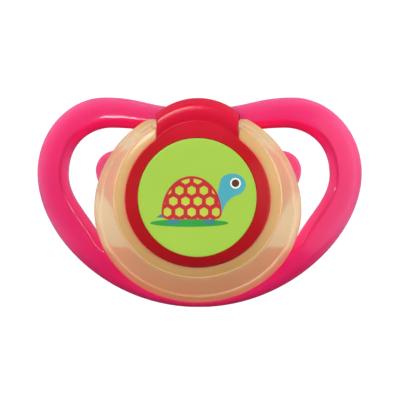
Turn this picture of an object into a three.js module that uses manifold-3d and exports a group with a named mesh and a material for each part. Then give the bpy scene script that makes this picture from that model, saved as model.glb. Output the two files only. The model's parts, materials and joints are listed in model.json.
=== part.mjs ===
// A baby's pacifier: heart-shaped shield, front cover with a label, flip-up ring handle and a hollow teat.
// Millimetres. X runs to the right, Z up, and Y from the front (the label) back towards the teat's tip.
// The origin is the centre of the label's front face.
import * as THREE from "three";
import { mergeVertices } from "three/addons/utils/BufferGeometryUtils.js";
import Module from "manifold-3d";

// Shield: the right half of two outlines in X and Z, each a start and cubic curves as handle, handle, end
const FRAME_START = [0, 17.4];
const FRAME_CURVES = [
  [[10, 17.4], [10.6, 19.55], [18.5, 19.55]],
  [[25.5, 19.55], [32, 13.15], [32, 4.6]],
  [[32, -7.6], [18, -21.65], [0, -21.65]],
];
const OPENING_START = [0, 12.6];
const OPENING_CURVES = [
  [[8, 12.6], [12.1, 13.8], [17.1, 13.8]],
  [[20.5, 13.8], [25.7, 11.25], [25.7, 4.35]],
  [[25.7, -0.05], [21.9, -3.3], [19.6, -7.4]],
  [[18.6, -9.2], [17.1, -9.8], [15.8, -9.8]],
];

// Shield: depth
const FRAME_FRONT = 5;
const FRAME_BACK = 9.6;
const FRAME_ROUNDING = [2.6, 2.2];
const FRAME_CHAMFER = 1.75;
const CHAMFER_DEPTH = 2.8;
const BEND_START = 8;
const BEND_RADIUS = 42;
const BEND_STEP = 4;
const HUB_RADIUS = 14.8;
const HUB_FRONT = 5.4;
const HUB_BACK = 7.4;
const SEAT_RADIUS = 14.7;
const COLLAR_RADII = [10.5, 12.5];
const COLLAR_FRONT = 2.4;
const TEAT_HOLE_RADIUS = 7.8;
const EAR_REACH = 20.2;
const EAR_TOP = 9.1;
const EAR_BOTTOM = -1.2;
const EAR_CORNERS = [3.9, 1.6];
const EAR_ROOT_X = 10;
const EAR_ROUNDING = 0.5;

// Front cover and label
const COVER_RADIUS = 14.2;
const COVER_DROP = 0.4;
const COVER_CHIN = 13.25;
const COVER_FRONT = -0.3;
const COVER_BACK = 5.1;
const RIM_WIDTH = 2.2;
const RIM_DEPTH = 1.3;
const COVER_WALL = 1.3;
const COVER_FLOOR = 2;
const NECK_HALF_WIDTH = 8.05;
const NECK_SIDE_TOP = 16;
const NECK_TOP = 19.5;
const NECK_TOP_RADIUS = 12.6;
const NECK_FRONT = 0.5;
const NECK_BACK = 6.1;
const NECK_BOTTOM = 12.4;
const NECK_ROUNDING = 0.8;
const NECK_CHEEK = 2.1;
const NECK_HOLLOW = { front: 2.2, bottom: 9, top: 17.2 };
const LABEL_RADIUS = 11.64;
const LABEL_THICKNESS = 0.5;
const GAP = 0.3;

// Ring handle
const HINGE = { y: 3, z: 13.9 };
const PIN_RADIUS = 1;
const BORE_RADIUS = 1.25;
const PIN_TIP = 6.4;
const RING_RADIUS = 20.4;
const RING_DROP = 2.6;
const RING_CHIN = 18.2;
const RING_TIP_RADIUS = 1.1;
const BAND_WIDTH = 2.35;
const BAND_CHIN = 15.65;
const BAND_TIP_RADIUS = 0.6;
const BAND_FRONT = 1.9;
const BAND_BACK = 4.1;
const FLANGE_FRONT = 2.4;
const FLANGE_BACK = 3.9;
const FLANGE_ROUNDING = 0.5;
const BAND_ROUNDING = 0.3;
const PIN_ROOT = 0.6;

// Teat plug
const PLUG_RADIUS = 10;
const PLUG_FRONT = 2.7;
const PLUG_BACK = 3.7;
const STEM_RADIUS = 4.9;
const STEM_BORE_RADIUS = 3.4;
const STEM_END = 9;
const STEM_FLOOR = 1.2;

// Teat: flange, then elliptical sections from the base to the tip: y, centre z, half-width, half-height
const TEAT_FLANGE_RADIUS = 10;
const TEAT_FLANGE = [4, 5.1];
const TEAT_NECK_RADIUS = 7.3;
const TEAT_WALL = 1.5;
const TEAT_SECTIONS = [
  [8.6, 0, 7.3, 7.3],
  [11, 0.1, 6.5, 6.1],
  [14, 0.2, 5.9, 5],
  [17, 0.5, 6.1, 4.8],
  [20, 1, 7.2, 5.4],
  [23.5, 1.7, 8.4, 6.2],
  [27, 2.4, 8.5, 6],
  [30, 3, 7.4, 4.9],
  [32.3, 3.4, 5.3, 3.3],
  [33.6, 3.6, 2.8, 1.7],
];
const TEAT_TIP = [34, 3.65];
const TEAT_SIDES = 28;

// Degrees between the points of an arc, and the number of steps on a small corner and on an outline's curves
const ARC_STEP = 6;
const CORNER_STEPS = 5;
const FRAME_STEPS = 12;
const OPENING_STEPS = 7;

// How far cutters run past what they cut, how far one stays off a face, and further than anything reaches
const OVERRUN = 6;
const HAIR = 0.02;
const FAR = 40;

const COLORS = {
  pink: 0xe8386f,
  red: 0xcc1f3c,
  lime: 0xa8cf4e,
  amber: 0xdcb878,
  silicone: 0xf2eee4,
  white: 0xf4f4f0,
};

const wasm = await Module();
wasm.setup();

// Solids and geometries
function toSolid(geometry) {
  const bare = geometry.clone();
  bare.deleteAttribute("normal");
  bare.deleteAttribute("uv");
  const merged = mergeVertices(bare, 1e-4);
  const vertProperties = new Float32Array(merged.attributes.position.array);
  const triVerts = new Uint32Array(merged.index.array);
  return new wasm.Manifold(new wasm.Mesh({ numProp: 3, vertProperties, triVerts }));
}

function toGeometry(solid) {
  const mesh = solid.getMesh();
  const geometry = new THREE.BufferGeometry();
  geometry.setAttribute("position", new THREE.BufferAttribute(new Float32Array(mesh.vertProperties), 3));
  geometry.setIndex(new THREE.BufferAttribute(new Uint32Array(mesh.triVerts), 1));
  geometry.computeVertexNormals();
  return geometry;
}

function box(low, high) {
  const size = high.map((value, axis) => value - low[axis]);
  const middle = high.map((value, axis) => (value + low[axis]) / 2);
  return toSolid(new THREE.BoxGeometry(...size).translate(...middle));
}

// Points of an elliptical arc in X and Z; angles in degrees, anticlockwise from +X
function arc(centreZ, radiusX, radiusZ, from, to, centreX = 0, wantedSteps = 0) {
  const steps = wantedSteps || Math.ceil(Math.abs(to - from) / ARC_STEP);
  const points = [];
  for (let i = 0; i <= steps; i++) {
    const angle = ((from + ((to - from) * i) / steps) * Math.PI) / 180;
    points.push(new THREE.Vector2(centreX + radiusX * Math.cos(angle), centreZ + radiusZ * Math.sin(angle)));
  }
  return points;
}

// Points along the right half of an outline: a start and cubic curves
function curvedHalf(start, curves, steps) {
  const half = new THREE.Path();
  half.moveTo(...start);
  for (const [first, second, end] of curves) half.bezierCurveTo(...first, ...second, ...end);
  return half.getPoints(steps);
}

// Closes the right half of a symmetrical outline with its mirror image
function mirrored(right) {
  const left = right.map((point) => new THREE.Vector2(-point.x, point.y)).reverse();
  const points = [...right, ...left];
  const apart = (point, i) => point.distanceTo(points[(i + 1) % points.length]) > 1e-6;
  return new THREE.Shape(points.filter(apart));
}

// An outline in X and Z, extruded along Y from front to back
function prism(outline, front, back) {
  const geometry = new THREE.ExtrudeGeometry(outline, { depth: back - front, bevelEnabled: false });
  return toSolid(geometry.rotateX(Math.PI / 2).translate(0, back, 0));
}

// The same with both ends drawn in: `inset` is how far, over `depth` of the thickness
function roundedPrism(outline, front, back, inset, depth, bevelSegments) {
  const geometry = new THREE.ExtrudeGeometry(outline, {
    depth: back - front - 2 * depth,
    bevelSize: inset,
    bevelThickness: depth,
    bevelOffset: -inset,
    bevelSegments,
  });
  return toSolid(geometry.rotateX(Math.PI / 2).translate(0, back - depth, 0));
}

// A profile of [radius, y] points turned about the Y axis, listed anticlockwise
function turned(profile, segments = 64) {
  const points = [...profile, profile[0]].map(([radius, y]) => new THREE.Vector2(radius, y));
  return toSolid(new THREE.LatheGeometry(points, segments));
}

function disc(radius, front, back, segments = 64) {
  const points = [[0, front], [radius, front], [radius, back], [0, back]].map((p) => new THREE.Vector2(...p));
  return toSolid(new THREE.LatheGeometry(points, segments));
}

function crossPin(radius, fromX, toX) {
  const pin = new THREE.CylinderGeometry(radius, radius, Math.abs(toX - fromX), 24);
  return toSolid(pin.rotateZ(Math.PI / 2).translate((fromX + toX) / 2, HINGE.y, HINGE.z));
}

// Splits long triangle edges at their middles, so that a flat face can bend
function splitEdges(geometry, longest) {
  const position = Array.from(geometry.attributes.position.array);
  let triangles = Array.from(geometry.index.array);
  const x = (vertex) => position[3 * vertex];
  let split = true;
  while (split) {
    split = false;
    const middles = new Map();
    const middle = (a, b) => {
      const bendable = Math.max(Math.abs(x(a)), Math.abs(x(b))) > BEND_START;
      if (!bendable || Math.abs(x(a) - x(b)) <= longest) return -1;
      const key = a < b ? `${a}_${b}` : `${b}_${a}`;
      if (!middles.has(key)) {
        middles.set(key, position.length / 3);
        for (const axis of [0, 1, 2]) position.push((position[3 * a + axis] + position[3 * b + axis]) / 2);
        split = true;
      }
      return middles.get(key);
    };
    const next = [];
    for (let i = 0; i < triangles.length; i += 3) {
      let corners = triangles.slice(i, i + 3);
      let mids = corners.map((corner, j) => middle(corner, corners[(j + 1) % 3]));
      const count = mids.filter((m) => m >= 0).length;
      while (count && count < 3 && !(mids[0] >= 0 && (count === 1 || mids[1] >= 0))) {
        corners = [corners[1], corners[2], corners[0]];
        mids = [mids[1], mids[2], mids[0]];
      }
      const [a, b, c] = corners;
      const [ab, bc, ca] = mids;
      if (count === 0) next.push(a, b, c);
      if (count === 1) next.push(a, ab, c, ab, b, c);
      if (count === 2) next.push(a, ab, c, ab, bc, c, ab, b, bc);
      if (count === 3) next.push(a, ab, ca, ab, b, bc, ca, bc, c, ab, bc, ca);
    }
    triangles = next;
  }
  const result = new THREE.BufferGeometry();
  result.setAttribute("position", new THREE.BufferAttribute(new Float32Array(position), 3));
  result.setIndex(triangles);
  return result;
}

// The shield's sides sweep back around the mouth
function bend(geometry) {
  const result = splitEdges(geometry, BEND_STEP);
  const position = result.attributes.position;
  for (let i = 0; i < position.count; i++) {
    const beyond = Math.max(0, Math.abs(position.getX(i)) - BEND_START);
    position.setY(i, position.getY(i) + beyond ** 2 / (2 * BEND_RADIUS));
  }
  result.computeVertexNormals();
  return result;
}

// Shield: the cutter for the opening flares towards the front, which gives the frame its sloping inner edge
function openingCutter() {
  const outline = mirrored(curvedHalf(OPENING_START, OPENING_CURVES, OPENING_STEPS));
  const flare = new THREE.ExtrudeGeometry(outline, {
    depth: OVERRUN,
    bevelSize: FRAME_CHAMFER,
    bevelThickness: CHAMFER_DEPTH,
    bevelSegments: 1,
  });
  flare.rotateX(Math.PI / 2).translate(0, FRAME_FRONT + HAIR, 0);
  return prism(outline, FRAME_FRONT - 1, FRAME_BACK + 1).add(toSolid(flare));
}

// A small rounded ear beside the hub; side is 1 on the right and -1 on the left
function ear(side) {
  const [upper, lower] = EAR_CORNERS;
  const points = [
    new THREE.Vector2(EAR_ROOT_X, EAR_TOP),
    ...arc(EAR_TOP - upper, upper, upper, 90, 0, EAR_REACH - upper),
    ...arc(EAR_BOTTOM + lower, lower, lower, -10, -65, EAR_REACH - lower - 0.2, CORNER_STEPS),
    new THREE.Vector2(EAR_ROOT_X, EAR_BOTTOM - 3),
  ];
  const outline = new THREE.Shape(points.map((point) => new THREE.Vector2(side * point.x, point.y)));
  return roundedPrism(outline, HUB_FRONT, HUB_BACK, EAR_ROUNDING, EAR_ROUNDING, 2);
}

function shield() {
  const outline = mirrored(curvedHalf(FRAME_START, FRAME_CURVES, FRAME_STEPS));
  const frame = roundedPrism(outline, FRAME_FRONT, FRAME_BACK, ...FRAME_ROUNDING, 3);
  const [collarInside, collarOutside] = COLLAR_RADII;
  const collarBack = HUB_FRONT + 0.5;
  const collar = turned([
    [collarInside, COLLAR_FRONT],
    [collarOutside, COLLAR_FRONT],
    [collarOutside, collarBack],
    [collarInside, collarBack],
  ]);
  const seat = disc(SEAT_RADIUS, 0, HUB_FRONT);
  const pocketHalf = NECK_HALF_WIDTH + GAP;
  const pocket = box([-pocketHalf, 0, NECK_BOTTOM - 2 * GAP], [pocketHalf, NECK_BACK + GAP, FAR]);
  const solid = frame
    .subtract(openingCutter())
    .add(disc(HUB_RADIUS, HUB_FRONT, HUB_BACK))
    .add(ear(1))
    .add(ear(-1))
    .subtract(seat)
    .add(collar)
    .subtract(pocket)
    .subtract(disc(TEAT_HOLE_RADIUS, 0, HUB_BACK + OVERRUN));
  return bend(toGeometry(solid));
}

// Front cover: a disc with a sloping rim and a shallow recess for the label, and the hinge neck
function coverOutline() {
  const chin = arc(-COVER_DROP, COVER_RADIUS, COVER_CHIN, -90, 0);
  return mirrored([...chin, ...arc(-COVER_DROP, COVER_RADIUS, COVER_RADIUS, 0, 90)]);
}

function neckOutline() {
  const reach = (Math.asin((NECK_HALF_WIDTH - 0.5) / NECK_TOP_RADIUS) * 180) / Math.PI;
  const top = arc(NECK_TOP - NECK_TOP_RADIUS, NECK_TOP_RADIUS, NECK_TOP_RADIUS, 90 - reach, 90);
  const side = [NECK_HOLLOW.bottom, NECK_SIDE_TOP].map((z) => new THREE.Vector2(NECK_HALF_WIDTH, z));
  return mirrored([...side, ...top]);
}

function frontCover() {
  const rimmed = roundedPrism(coverOutline(), COVER_FRONT, COVER_BACK + OVERRUN, RIM_WIDTH, RIM_DEPTH, 2);
  const behind = box([-FAR, COVER_BACK, -FAR], [FAR, FAR, FAR]);
  const neck = roundedPrism(neckOutline(), NECK_FRONT, NECK_BACK, NECK_ROUNDING, NECK_ROUNDING, 3);
  const neckKeep = box([-FAR, -FAR, NECK_BOTTOM], [FAR, FAR, FAR]);
  const hollow = disc(COVER_RADIUS - COVER_WALL, COVER_FLOOR, COVER_BACK + OVERRUN);
  const cheek = NECK_HALF_WIDTH - NECK_CHEEK;
  const neckHollow = box([-cheek, NECK_HOLLOW.front, NECK_HOLLOW.bottom], [cheek, FAR, NECK_HOLLOW.top]);
  const recess = disc(LABEL_RADIUS + GAP, COVER_FRONT - 1, LABEL_THICKNESS + GAP);
  const bores = crossPin(BORE_RADIUS, -NECK_HALF_WIDTH - 1, NECK_HALF_WIDTH + 1);
  const solid = rimmed
    .subtract(behind)
    .add(neck.intersect(neckKeep))
    .subtract(hollow)
    .subtract(neckHollow)
    .subtract(recess)
    .subtract(bores);
  return toGeometry(solid);
}

// Ring handle: a thick band that hugs the cover, a thinner flange outside it, and two inward pins
function openRing(radius, chin, drop, tipRadius) {
  const degrees = 180 / Math.PI;
  const tipFace = NECK_HALF_WIDTH + GAP;
  const tipX = tipFace + tipRadius;
  const tipZ = -drop + Math.sqrt((radius - tipRadius) ** 2 - tipX ** 2);
  const tipAngle = Math.atan2(tipZ + drop, tipX) * degrees;
  const innerRadius = COVER_RADIUS + GAP;
  const innerAngle = Math.acos(tipFace / innerRadius) * degrees;
  return mirrored([
    ...arc(-COVER_DROP, innerRadius, innerRadius, innerAngle, 0),
    ...arc(-COVER_DROP, innerRadius, COVER_CHIN + GAP, 0, -90).slice(1),
  ].reverse().concat([
    ...arc(tipZ, tipRadius, tipRadius, 180, tipAngle, tipX, CORNER_STEPS),
    ...arc(-drop, radius, radius, tipAngle, 0).slice(1),
    ...arc(-drop, radius, chin, 0, -90).slice(1),
  ]));
}

function ringHandle() {
  const bandRadius = COVER_RADIUS + GAP + BAND_WIDTH;
  const outer = openRing(RING_RADIUS, RING_CHIN, RING_DROP, RING_TIP_RADIUS);
  const inner = openRing(bandRadius, BAND_CHIN, COVER_DROP, BAND_TIP_RADIUS);
  const flange = roundedPrism(outer, FLANGE_FRONT, FLANGE_BACK, FLANGE_ROUNDING, FLANGE_ROUNDING, 2);
  const band = roundedPrism(inner, BAND_FRONT, BAND_BACK, BAND_ROUNDING, BAND_ROUNDING, 1);
  const root = NECK_HALF_WIDTH + GAP + PIN_ROOT;
  const solid = flange
    .add(band)
    .add(crossPin(PIN_RADIUS, PIN_TIP, root))
    .add(crossPin(PIN_RADIUS, -root, -PIN_TIP));
  return toGeometry(solid);
}

function labelDisc() {
  return toGeometry(disc(LABEL_RADIUS, 0, LABEL_THICKNESS));
}

// Teat plug: a disc with a hollow stem, open at the front
function teatPlug() {
  return toGeometry(turned([
    [0, STEM_END - STEM_FLOOR],
    [STEM_BORE_RADIUS, STEM_END - STEM_FLOOR],
    [STEM_BORE_RADIUS, PLUG_FRONT],
    [PLUG_RADIUS, PLUG_FRONT],
    [PLUG_RADIUS, PLUG_BACK],
    [STEM_RADIUS, PLUG_BACK],
    [STEM_RADIUS, STEM_END],
    [0, STEM_END],
  ]));
}

// Teat: rings of points skinned from the inside of the tip, out over the flange, to the outer tip
function teat() {
  const [flangeFront, flangeBack] = TEAT_FLANGE;
  const inside = TEAT_SECTIONS.slice(0, -1).map(([y, z, a, b]) => [y, z, a - TEAT_WALL, b - TEAT_WALL]);
  const rings = [
    ...inside.reverse(),
    [flangeFront, 0, TEAT_NECK_RADIUS - TEAT_WALL, TEAT_NECK_RADIUS - TEAT_WALL],
    [flangeFront, 0, TEAT_FLANGE_RADIUS, TEAT_FLANGE_RADIUS],
    [flangeBack, 0, TEAT_FLANGE_RADIUS, TEAT_FLANGE_RADIUS],
    [flangeBack, 0, TEAT_NECK_RADIUS, TEAT_NECK_RADIUS],
    ...TEAT_SECTIONS,
  ];
  const positions = [0, TEAT_TIP[0] - TEAT_WALL, TEAT_TIP[1]];
  for (const [y, z, halfWidth, halfHeight] of rings) {
    for (let side = 0; side < TEAT_SIDES; side++) {
      const angle = (2 * Math.PI * side) / TEAT_SIDES;
      positions.push(halfWidth * Math.cos(angle), y, z + halfHeight * Math.sin(angle));
    }
  }
  positions.push(0, ...TEAT_TIP);
  const last = positions.length / 3 - 1;
  const at = (ring, side) => 1 + ring * TEAT_SIDES + (side % TEAT_SIDES);
  const index = [];
  for (let side = 0; side < TEAT_SIDES; side++) {
    index.push(0, at(0, side), at(0, side + 1));
    for (let ring = 0; ring < rings.length - 1; ring++) {
      index.push(at(ring, side), at(ring + 1, side), at(ring + 1, side + 1));
      index.push(at(ring, side), at(ring + 1, side + 1), at(ring, side + 1));
    }
    index.push(last, at(rings.length - 1, side + 1), at(rings.length - 1, side));
  }
  const geometry = new THREE.BufferGeometry();
  geometry.setAttribute("position", new THREE.BufferAttribute(new Float32Array(positions), 3));
  geometry.setIndex(index);
  geometry.computeVertexNormals();
  return geometry;
}

// The assembly
const group = new THREE.Group();

function addPart(name, geometry, color, roughness, extra = {}) {
  const material = new THREE.MeshStandardMaterial({ color, roughness, metalness: 0, ...extra });
  const mesh = new THREE.Mesh(geometry, material);
  mesh.name = name;
  group.add(mesh);
}

addPart("shield", shield(), COLORS.pink, 0.3);
addPart("front_cover", frontCover(), COLORS.red, 0.3);
addPart("label_disc", labelDisc(), COLORS.lime, 0.45);
addPart("ring_handle", ringHandle(), COLORS.amber, 0.25, { transparent: true, opacity: 0.75 });
addPart("teat_plug", teatPlug(), COLORS.white, 0.4);
addPart("teat", teat(), COLORS.silicone, 0.2, { transparent: true, opacity: 0.6 });

export default group;
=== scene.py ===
"""Looks for the pacifier: moulded shield, front cover, printed label, see-through ring handle, plug and teat.

Every rigid moulding is described as a field: a function of x, y and z in millimetres that is negative inside
the piece. skin() turns a field into an even mesh of small quads. Flat prints and the teat are built directly.
"""
import json
import math

import bpy
import numpy as np
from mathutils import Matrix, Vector

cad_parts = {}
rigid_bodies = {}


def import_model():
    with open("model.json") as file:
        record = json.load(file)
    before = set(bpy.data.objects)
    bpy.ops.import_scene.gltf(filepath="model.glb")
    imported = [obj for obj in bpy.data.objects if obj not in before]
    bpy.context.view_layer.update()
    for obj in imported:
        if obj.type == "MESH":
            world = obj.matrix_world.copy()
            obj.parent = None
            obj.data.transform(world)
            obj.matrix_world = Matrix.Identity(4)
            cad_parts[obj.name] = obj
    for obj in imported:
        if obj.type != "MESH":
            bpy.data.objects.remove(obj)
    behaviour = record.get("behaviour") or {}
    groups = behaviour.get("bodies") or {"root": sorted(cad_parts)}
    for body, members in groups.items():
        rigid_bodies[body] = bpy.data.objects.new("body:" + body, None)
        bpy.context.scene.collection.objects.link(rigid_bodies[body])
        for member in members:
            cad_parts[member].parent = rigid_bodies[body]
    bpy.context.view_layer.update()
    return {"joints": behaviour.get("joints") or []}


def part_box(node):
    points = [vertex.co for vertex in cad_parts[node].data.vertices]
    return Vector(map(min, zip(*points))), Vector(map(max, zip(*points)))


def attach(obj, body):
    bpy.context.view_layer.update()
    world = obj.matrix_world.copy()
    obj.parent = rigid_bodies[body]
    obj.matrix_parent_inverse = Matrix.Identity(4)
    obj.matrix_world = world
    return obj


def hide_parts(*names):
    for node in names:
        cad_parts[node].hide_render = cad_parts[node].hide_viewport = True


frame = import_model()
MM = 0.001


# ---------------------------------------------------------------- places from the frame, in millimetres
def box_mm(node):
    """The low and high corners of a CAD node's box."""
    low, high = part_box(node)
    return np.array(low) / MM, np.array(high) / MM


SHIELD_LOW, SHIELD_HIGH = box_mm("shield")
COVER_LOW, COVER_HIGH = box_mm("front_cover")
LABEL_HIGH = box_mm("label_disc")[1]
RING_LOW, RING_HIGH = box_mm("ring_handle")
PLUG_LOW, PLUG_HIGH = box_mm("teat_plug")
TEAT_LOW, TEAT_HIGH = box_mm("teat")
HINGE = np.array(frame["joints"][0]["pos_m"]) / MM

# Y runs away from the camera. A DROP is how far a middle lies below the label's middle, and a CHIN is how far
# the shape reaches down from there. An EDGE or FILLET is the width over which a corner is rounded.

# Shield
DIP_Z = 17.4
LOBE = (18.5, SHIELD_HIGH[2])
WIDEST = (SHIELD_HIGH[0], 4.6)
CHIN_Z = SHIELD_LOW[2]
OPENING_TOP_MIDDLE = 12.6
OPENING_TOP = (17.1, 13.6)
OPENING_SIDE = (25.7, 4.35)
OPENING_CORNER = (19.6, -7.4)
OPENING_BOTTOM = (15.8, -9.7)
FRAME_FRONT = 5.0
FRAME_BACK = 9.6
CHAMFER = 1.68
TOP_CHAMFER_SLOPE = 0.6
SIDE_CHAMFER_SLOPE = 0.85
RIDGE_FALL = 1.9
FACET_SLOPE = 0.19
FACET_DROP = 0.26
BEND_START = 8.0
BEND_RADIUS = 42.0
HUB_RADIUS = 14.8
HUB_FRONT = 5.4
HUB_BACK = 7.4
SEAT_RADIUS = 14.7
COLLAR_RADIUS = 11.5
COLLAR_FRONT = SHIELD_LOW[1]
TEAT_HOLE_RADIUS = 7.8
EAR_REACH = 20.2
EAR_TOP = 9.1
EAR_RADIUS = 3.9
EAR_FOOT = (15.2, -4.4)
RIM_EDGE = 2.0
FACET_EDGE = 0.08
CHAMFER_EDGE = 0.2
OPENING_EDGE = 0.55
HUB_EDGE = 0.7
HUB_FILLET = 1.0
EAR_FILLET = 2.0
COLLAR_HALF_WALL = 1.0
COLLAR_SUNK = 0.5
COLLAR_EDGE = 0.3
SEAT_EDGE = 0.25
POCKET_DEPTH = 0.6
POCKET_EDGE = 0.1
TEAT_HOLE_EDGE = 0.4

# Cover and label
GAP = 0.03
SNUG_GAP = 0.02
CHIN_GAP = 0.1
LABEL_RADIUS = LABEL_HIGH[0]
LABEL_BACK = LABEL_HIGH[1]
COVER_RADIUS = COVER_HIGH[0]
COVER_DROP = 0.4
COVER_CHIN = -COVER_LOW[2] - COVER_DROP
COVER_BACK = 5.1
RIM_DEPTH = 1.3
LABEL_LIP = 0.08
CROWN = (3.9, 11.0)
COVER_WALL = 1.3
COVER_FLOOR = 2.0
NECK_HALF_WIDTH = 8.05
NECK_TOP = COVER_HIGH[2]
NECK_TOP_RADIUS = 12.4
NECK_TOP_HALF_WIDTH = NECK_HALF_WIDTH - 0.35
NECK_SIDE = (6.0, NECK_TOP - 3.4)
NECK_FRONT = 1.2
NECK_BACK = COVER_HIGH[1]
NECK_BULGE = 1.5
NECK_CREST_SHARE = 0.35
LIP_SHARE = 0.73
LIP_SLOPE = 7.0
LIP_EDGE = 0.35
BACK_STEP = (12.3, 12.5)
NECK_CHEEK = 2.1
NECK_ROOT = 9.0
COVER_EDGE = 0.3
CAVITY_EDGE = 0.2
RECESS_EDGE = 0.04
SLOT_FRONT = COVER_FLOOR + 0.7
SLOT_ROOF = 2.6

# Ring handle
RING_RADIUS = RING_HIGH[0]
RING_DROP = 2.6
RING_CHIN = -RING_LOW[2] - RING_DROP
RING_TOP = RING_HIGH[2]
BAND_WIDTH = 2.35
BAND_FRONT = RING_LOW[1]
BAND_BACK = RING_HIGH[1]
FLANGE_FRONT = 2.4
FLANGE_BACK = 3.9
RIM_BEVEL = 1.25
TIP_CORNER = 0.45
TIP_SHOULDER = 1.1
BAND_CROWN = 0.45
BAND_RIDGE = 0.14
BEVEL_SLOPE = 0.4
BEAD_HEIGHT = 0.18
FLANGE_DOME = 0.12
TIP_DRAFT = 0.12
RING_BACK_EDGE = 0.5
PIN_RADIUS = 1.0
PIN_TIP = 6.4
PIN_ROOT = NECK_HALF_WIDTH + 0.9
PIN_EDGE = 0.25
PIN_FILLET = 0.1
BORE_RADIUS = 1.25


# ---------------------------------------------------------------- outlines in X and Z
def bezier(a, b, c, d, count=60):
    """Points of a cubic curve from a to d, which b and c pull into shape."""
    t = np.linspace(0, 1, count)[:, None]
    a, b, c, d = (np.array(p, float) for p in (a, b, c, d))
    return (1 - t) ** 3 * a + 3 * (1 - t) ** 2 * t * b + 3 * (1 - t) * t ** 2 * c + t ** 3 * d


def arc(centre, radii, start, stop, count=60):
    """Points of an elliptical arc; angles in degrees, anticlockwise from +X."""
    angle = np.radians(np.linspace(start, stop, count))
    return np.stack([centre[0] + radii[0] * np.cos(angle), centre[1] + radii[1] * np.sin(angle)], axis=1)


def mirrored(*right):
    """The right half of a symmetrical outline, closed with its mirror image."""
    right = np.vstack(right)
    points = np.vstack([right, right[::-1] * (-1, 1)])
    apart = np.linalg.norm(points - np.roll(points, -1, axis=0), axis=1) > 1e-6
    return points[apart]


def outline_distance(outline, x, z):
    """Signed distance from each (x, z) to a closed outline, negative inside."""
    nearest = np.full(np.broadcast(x, z).shape, 1e9)
    inside = np.zeros(nearest.shape, bool)
    for (ax, az), (bx, bz) in zip(outline, np.roll(outline, -1, axis=0)):
        dx, dz = bx - ax, bz - az
        along = np.clip(((x - ax) * dx + (z - az) * dz) / (dx * dx + dz * dz), 0, 1)
        nearest = np.minimum(nearest, (x - ax - along * dx) ** 2 + (z - az - along * dz) ** 2)
        if az != bz:
            inside ^= ((az > z) != (bz > z)) & (x < dx * (z - az) / (bz - az) + ax)
    return np.where(inside, -1, 1) * np.sqrt(nearest)


class DistanceMap:
    """outline_distance on a grid, read back with smooth cubic interpolation."""

    def __init__(self, outline, step=0.3, margin=2.4):
        self.low = outline.min(axis=0) - margin
        self.step = step
        x, z = (np.arange(low, high + margin, step) for low, high in zip(self.low, outline.max(axis=0)))
        self.values = outline_distance(outline, x[:, None], z[None, :])

    def __call__(self, x, z):
        x, z = np.broadcast_arrays(x, z)
        column, across = self._cell(x, 0)
        row, up = self._cell(z, 1)
        total = 0.0
        for i, wx in enumerate(self._weights(across)):
            for j, wz in enumerate(self._weights(up)):
                total = total + wx * wz * self.values[column + i - 1, row + j - 1]
        return total

    def _cell(self, value, axis):
        place = (value - self.low[axis]) / self.step
        cell = np.clip(np.floor(place).astype(int), 1, self.values.shape[axis] - 3)
        return cell, place - cell

    @staticmethod
    def _weights(t):
        return (
            ((2 - t) * t - 1) * t / 2,
            ((3 * t - 5) * t * t + 2) / 2,
            ((4 - 3 * t) * t + 1) * t / 2,
            (t - 1) * t * t / 2,
        )


# ---------------------------------------------------------------- fields
SHIELD_STEP = 0.27
FINE_STEP = 0.2


def smooth_max(a, b, k):
    """The larger of a and b, with the corner between them rounded over k millimetres."""
    blend = np.maximum(k - np.abs(a - b), 0) / k
    return np.maximum(a, b) + blend * blend * k / 4


def smooth_min(a, b, k):
    return -smooth_max(-a, -b, k)


def smooth_step(low, high, value):
    t = np.clip((value - low) / (high - low), 0, 1)
    return t * t * (3 - 2 * t)


def slab(outline, y, front, back, rounding):
    """An outline's distance given thickness from front to back, with round edges."""
    return smooth_max(smooth_max(outline, front - y, rounding), y - back, rounding)


def skin(field, low, high, step):
    """Vertices and quads of the surface where field is zero, one vertex in each cell that it crosses."""
    axes = [np.arange(a - 2.5 * step, b + 3 * step, step) for a, b in zip(low, high)]
    x, y, z = np.meshgrid(*axes, indexing="ij", sparse=True)
    values = np.broadcast_to(field(x, y, z), [len(axis) for axis in axes])
    cells = tuple(n - 1 for n in values.shape)
    total = np.zeros(cells + (3,))
    count = np.zeros(cells)
    for axis in range(3):
        others = [a for a in range(3) if a != axis]
        for corner in ((0, 0), (0, 1), (1, 0), (1, 1)):
            start = [0, 0, 0]
            start[others[0]], start[others[1]] = corner
            stop = list(start)
            stop[axis] = 1
            first, second = (
                values[tuple(slice(o, o + n) for o, n in zip(offset, cells))] for offset in (start, stop)
            )
            crossing = (first < 0) != (second < 0)
            share = np.where(crossing, first / np.where(crossing, first - second, 1), 0)
            count += crossing
            for other in others:
                total[..., other] += crossing * start[other]
            total[..., axis] += share
    active = count > 0
    index = np.full(cells, -1)
    index[active] = np.arange(active.sum())
    place = np.argwhere(active) + total[active] / count[active][:, None]
    vertices = place * step + np.array([axis[0] for axis in axes])
    quads = []
    inside = values < 0
    for axis in range(3):
        u, v = (axis + 1) % 3, (axis + 2) % 3
        here = np.moveaxis(inside, (axis, u, v), (0, 1, 2))
        cell = np.moveaxis(index, (axis, u, v), (0, 1, 2))
        start, stop = here[:-1, 1:-1, 1:-1], here[1:, 1:-1, 1:-1]
        around = [cell[:, :-1, :-1], cell[:, 1:, :-1], cell[:, 1:, 1:], cell[:, :-1, 1:]]
        for wanted, order in ((start & ~stop, (0, 1, 2, 3)), (~start & stop, (3, 2, 1, 0))):
            quads.append(np.stack([around[i][wanted] for i in order], axis=1))
    return settle(field, vertices, step), np.vstack(quads)


def gradient(field, points, nudge=0.02):
    """The field's slope at each point, which is the surface's normal where the field is zero."""
    slope = np.empty_like(points)
    for axis in range(3):
        offset = np.zeros(3)
        offset[axis] = nudge
        slope[:, axis] = (field(*(points + offset).T) - field(*(points - offset).T)) / (2 * nudge)
    return slope


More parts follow.
